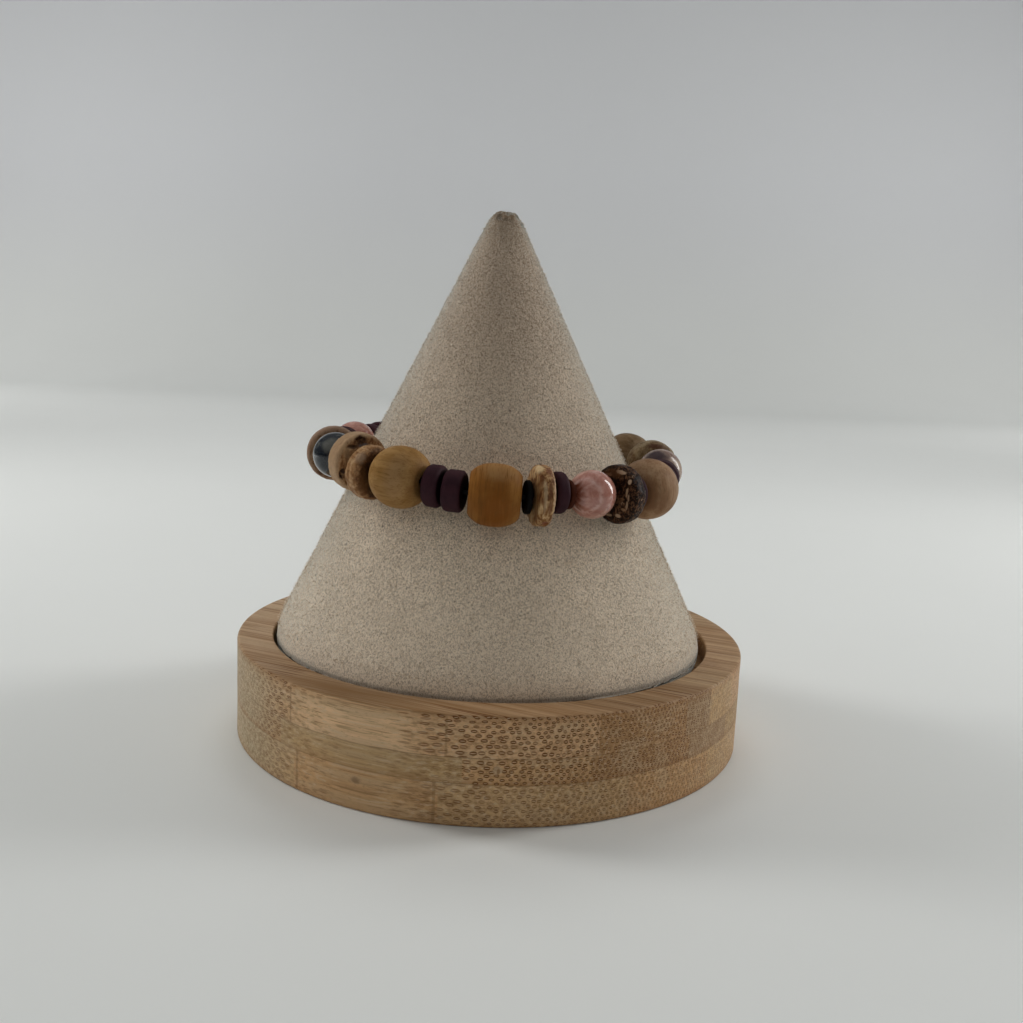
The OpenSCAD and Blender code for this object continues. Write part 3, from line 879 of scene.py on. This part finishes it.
# In nut 7 the second mark, near black, is painted shade on the face toward the wood bead beside it
NUT_7_MARKS_AND_SHADE = [((0.0, -0.2, 1.5), (4.7, 4.7, 1.3), (0.24, 0.110, 0.042), 0.7, 0.4),
               ((0.0, 0.0, 1.6), (3.7, 4.0, 0.9), (0.030, 0.010, 0.003), 0.92, 0.3),
               ((-2.6, -1.2, 1.5), (0.9, 2.2, 0.7), (0.16, 0.070, 0.022), 0.75, 0.5),
               ((-1.6, 2.6, 1.5), (1.6, 0.5, 0.6), (0.10, 0.040, 0.014), 0.7, 0.5),
               ((-3.2, 2.9, 0.9), (0.9, 1.0, 0.8), (0.46, 0.33, 0.22), 0.5, 0.5)]
NUT_2_MARKS = [((0.0, 4.15, -1.75), (1.7, 0.45, 0.8), (0.11, 0.045, 0.022), 0.85, 0.4),
               ((-1.6, 3.6, -1.6), (1.0, 0.6, 0.7), (0.16, 0.085, 0.045), 0.6, 0.5)]
SHELL_MARKS = [((-0.9, 4.5, -0.9), (1.3, 0.9, 0.6), (0.70, 0.50, 0.27), 0.95, 0.4),
               ((-3.2, 2.6, -1.0), (1.0, 2.6, 0.4), (0.13, 0.045, 0.012), 0.8, 0.5),
               ((-2.6, -1.5, -1.3), (1.2, 3.0, 0.35), (0.20, 0.085, 0.028), 0.7, 0.5),
               ((-4.6, 1.8, -0.5), (0.9, 3.4, 0.30), (0.50, 0.37, 0.22), 0.6, 0.5),
               ((-4.3, 2.0, 0.35), (1.2, 1.0, 0.35), (0.15, 0.055, 0.022), 0.85, 0.4),
               ((-4.4, -0.6, 0.35), (1.2, 1.2, 0.35), (0.20, 0.085, 0.038), 0.7, 0.4),
               ((-2.0, 4.3, 0.5), (1.2, 0.8, 0.5), (0.22, 0.085, 0.045), 0.7, 0.4),
               ((-3.0, -3.7, 0.3), (0.8, 0.9, 0.5), (0.22, 0.055, 0.022), 0.9, 0.4),
               ((-4.2, 1.0, 1.15), (1.6, 4.0, 0.22), (0.50, 0.33, 0.20), 0.8, 0.5)]
# In pink bead 1 the first mark is painted shadow, deep red-brown at the end beside the plum disc
PINK_1_MARKS_AND_SHADOW = [((-0.4, -0.2, -3.6), (1.9, 3.0, 1.3), (0.165, 0.035, 0.012), 0.9, 0.45),
                ((-3.4, -1.4, -0.6), (1.2, 1.8, 1.8), (0.44, 0.21, 0.17), 0.5, 0.5)]
DARK_2_MARKS = [((-2.9, -0.8, 2.4), (1.6, 2.3, 1.6), (0.008, 0.012, 0.018), 0.85, 0.5),
                ((-1.4, 2.3, 2.8), (1.9, 1.3, 1.3), (0.15, 0.15, 0.13), 0.8, 0.5)]
# The mauve bead's mark is painted shade, dark purple at the top of the end beside the wood bead
MAUVE_PAINTED_SHADE = [((1.6, 3.1, -2.0), (2.4, 1.1, 1.6), (0.045, 0.022, 0.030), 0.92, 0.4)]
PINK_SWIRL = ((-2.3, 0.5, -3.2), [(0.7, 0.35, (0.62, 0.37, 0.31), 0.35),
                                  (1.5, 0.40, (0.40, 0.16, 0.12), 0.35),
                                  (2.7, 0.60, (0.70, 0.45, 0.39), 0.6),
                                  (3.6, 0.45, (0.38, 0.17, 0.13), 0.45),
                                  (4.5, 0.50, (0.62, 0.39, 0.33), 0.6)])

# Wood beads: number, light tint, dark tint, grain, marks, turned lines, fullness
WOOD_BEADS = [(1, (0.35, 0.155, 0.036), (0.27, 0.103, 0.020), "round", HONEY_WOOD_MARKS_AND_HIGHLIGHT,
               ((-2.3, 0.09), (-1.55, 0.08), (1.9, 0.07)), 2.45),
              (2, (0.41, 0.255, 0.145), (0.28, 0.150, 0.075), "upright", GREY_WOOD_MARKS_AND_SHADOW, (), 2.1),
              (3, (0.26, 0.175, 0.098), (0.145, 0.090, 0.044), "string", (), (), 2.2),
              (4, (0.36, 0.23, 0.12), (0.24, 0.14, 0.06), "string", (), (), 2.2),
              (5, (0.30, 0.15, 0.05), (0.20, 0.09, 0.025), "round", (), (), 2.3),
              (6, (0.40, 0.225, 0.080), (0.27, 0.135, 0.038), "string", PALE_WOOD_MARKS_AND_HIGHLIGHT, (), 2.15)]
PLUM_DISCS = 15
# Dents in the discs: middle, reach and depth
NUT_1_DENTS = [((-3.2, 1.9, -1.7), (0.5, 0.4, 0.8), 0.25), ((-2.2, -2.6, -1.7), (0.5, 0.6, 0.8), 0.25),
               ((1.0, 2.4, -1.7), (1.2, 0.4, 0.8), 0.20)]
NUT_6_DENTS = [((-3.8, -1.5, 1.65), (0.6, 1.0, 0.9), 0.9), ((-0.7, 3.8, 1.75), (1.3, 1.0, 0.9), 0.9),
               ((-2.2, 2.9, 1.75), (1.2, 0.4, 0.9), 0.6), ((0.2, 3.2, 1.75), (0.9, 0.4, 0.9), 0.25)]
NUT_7_DENTS = [((-1.2, 0.6, 1.6), (2.2, 2.6, 1.0), 0.35)]
SHELL_DENTS = [((-3.0, -4.0, 0.4), (0.9, 0.7, 0.8), 0.4), ((-4.9, 3.0, 0.2), (0.8, 0.8, 0.7), 0.2)]
# Nut discs: number, tints, marks, unevenness, edge, dents, mesh step, points round, rest of the material
NUT_DISCS = [(1, DARK_NUT, NUT_1_MARKS, 0.34, 1.15, NUT_1_DENTS, 0.2, 180,
              dict(chips=CREAM, rough=0.42, specular=0.1, streaks=(2.2, 1.3, 2.2))),
             (2, OLIVE_NUT, NUT_2_MARKS, 0.2, 1.2, (), 0.3, 120, {}),
             (3, BROWN_NUT, (), 0.2, 1.0, (), 0.3, 120, {}),
             (4, TAN_NUT, (), 0.2, 1.0, (), 0.3, 120, {}),
             (5, BROWN_NUT, (), 0.12, 1.0, (), 0.3, 120, dict(rim=(0.33, 0.21, 0.14))),
             # Nut 6's pale rim is its own tint and a painted sheen along its edge
             (6, TAN_NUT, NUT_6_MARKS_SHADE_AND_HIGHLIGHT, 0.18, 0.8, NUT_6_DENTS, 0.16, 220, dict(rim=(0.47, 0.31, 0.18))),
             (7, TAN_NUT, NUT_7_MARKS_AND_SHADE, 0.26, 1.0, NUT_7_DENTS, 0.22, 160, {})]
# The black spacer is made darker still, as painted shade in the gap where it sits
SPACER_BLACK_AND_SHADE, SPACER_RED = (0.004, 0.0035, 0.0035), (0.045, 0.011, 0.005)


def make_beads():
    for k, light, dark, grain, marks, lines, square in WOOD_BEADS:
        material = wood_material(f"wood_{k}", light, dark, 5.3 * k, grain, marks, lines)
        make_bead(f"wood_bead_{k}", "bead_wood", material, 0.03, k, square=square)
    for k in range(1, PLUM_DISCS + 1):
        node = f"plum_disc_{k}"
        material = plum_material(f"plum_{k}", 3.7 * k, bead_frame(node)[2])
        make_bead(node, "plum_disc", material, 0.10, k, step=0.4, around=84, edge=0.75)
    for k, marks, swirl in ((1, PINK_1_MARKS_AND_SHADOW, PINK_SWIRL), (2, (), ()), (3, (), ())):
        material = stone_material(f"pink_{k}", PINK, 2.3 * k, swirl=swirl, patches=marks, vein=PINK_VEIN)
        make_bead(f"pink_bead_{k}", "pink_stone", material, 0.02, k)
    for k, marks in ((1, ()), (2, DARK_2_MARKS)):
        material = stone_material(f"dark_{k}", DARK, 5.1 * k, 0.6, 1.5, patches=marks, rough=0.08)
        make_bead(f"dark_bead_{k}", "dark_stone", material, 0.02, k)
    material = stone_material("mauve", MAUVE, 1.3, 0.35, 1.0, patches=MAUVE_PAINTED_SHADE, rough=0.25, coat=0.12)
    make_bead("mauve_bead_1", "mauve_stone", material, 0.02, 1)
    for k, stops, marks, rough, edge, dents, step, around, rest in NUT_DISCS:
        node = f"nut_disc_{k}"
        material = nut_material(f"nut_{k}", stops, 1.0 * k, bead_frame(node)[2], marks, **rest)
        make_bead(node, "nut", material, rough, k, dents, step, around, edge=edge)
    material = nut_material("shell", SHELL, 8.0, bead_frame("shell_disc_1")[2], SHELL_MARKS,
                            streaks=(1.6, 0.35, 1.6), rough=0.45)
    make_bead("shell_disc_1", "shell", material, 0.30, 8, SHELL_DENTS, 0.2, 180, edge=0.8)
    for k, tone in ((1, SPACER_BLACK_AND_SHADE), (2, SPACER_RED)):
        make_bead(f"spacer_disc_{k}", "spacer", spacer_material(f"spacer_{k}", tone), 0.04, k, around=64,
                  edge=0.3)


make_beads()

# Elastic cord
def dress_cord():
    """The cord keeps its CAD mesh."""
    s = Shader("dark_elastic", 0.2, Roughness=0.6)
    colour = s.mix(s.noise(s.mm, 1.5, 2), (0.012, 0.011, 0.010), (0.022, 0.020, 0.018))
    s.finish(colour, None, s.bump(s.noise(s.mm, 6.0, 2), 0.02, 0.4))
    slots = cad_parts["elastic_cord"].data.materials
    slots.clear()
    slots.append(s.material)


dress_cord()
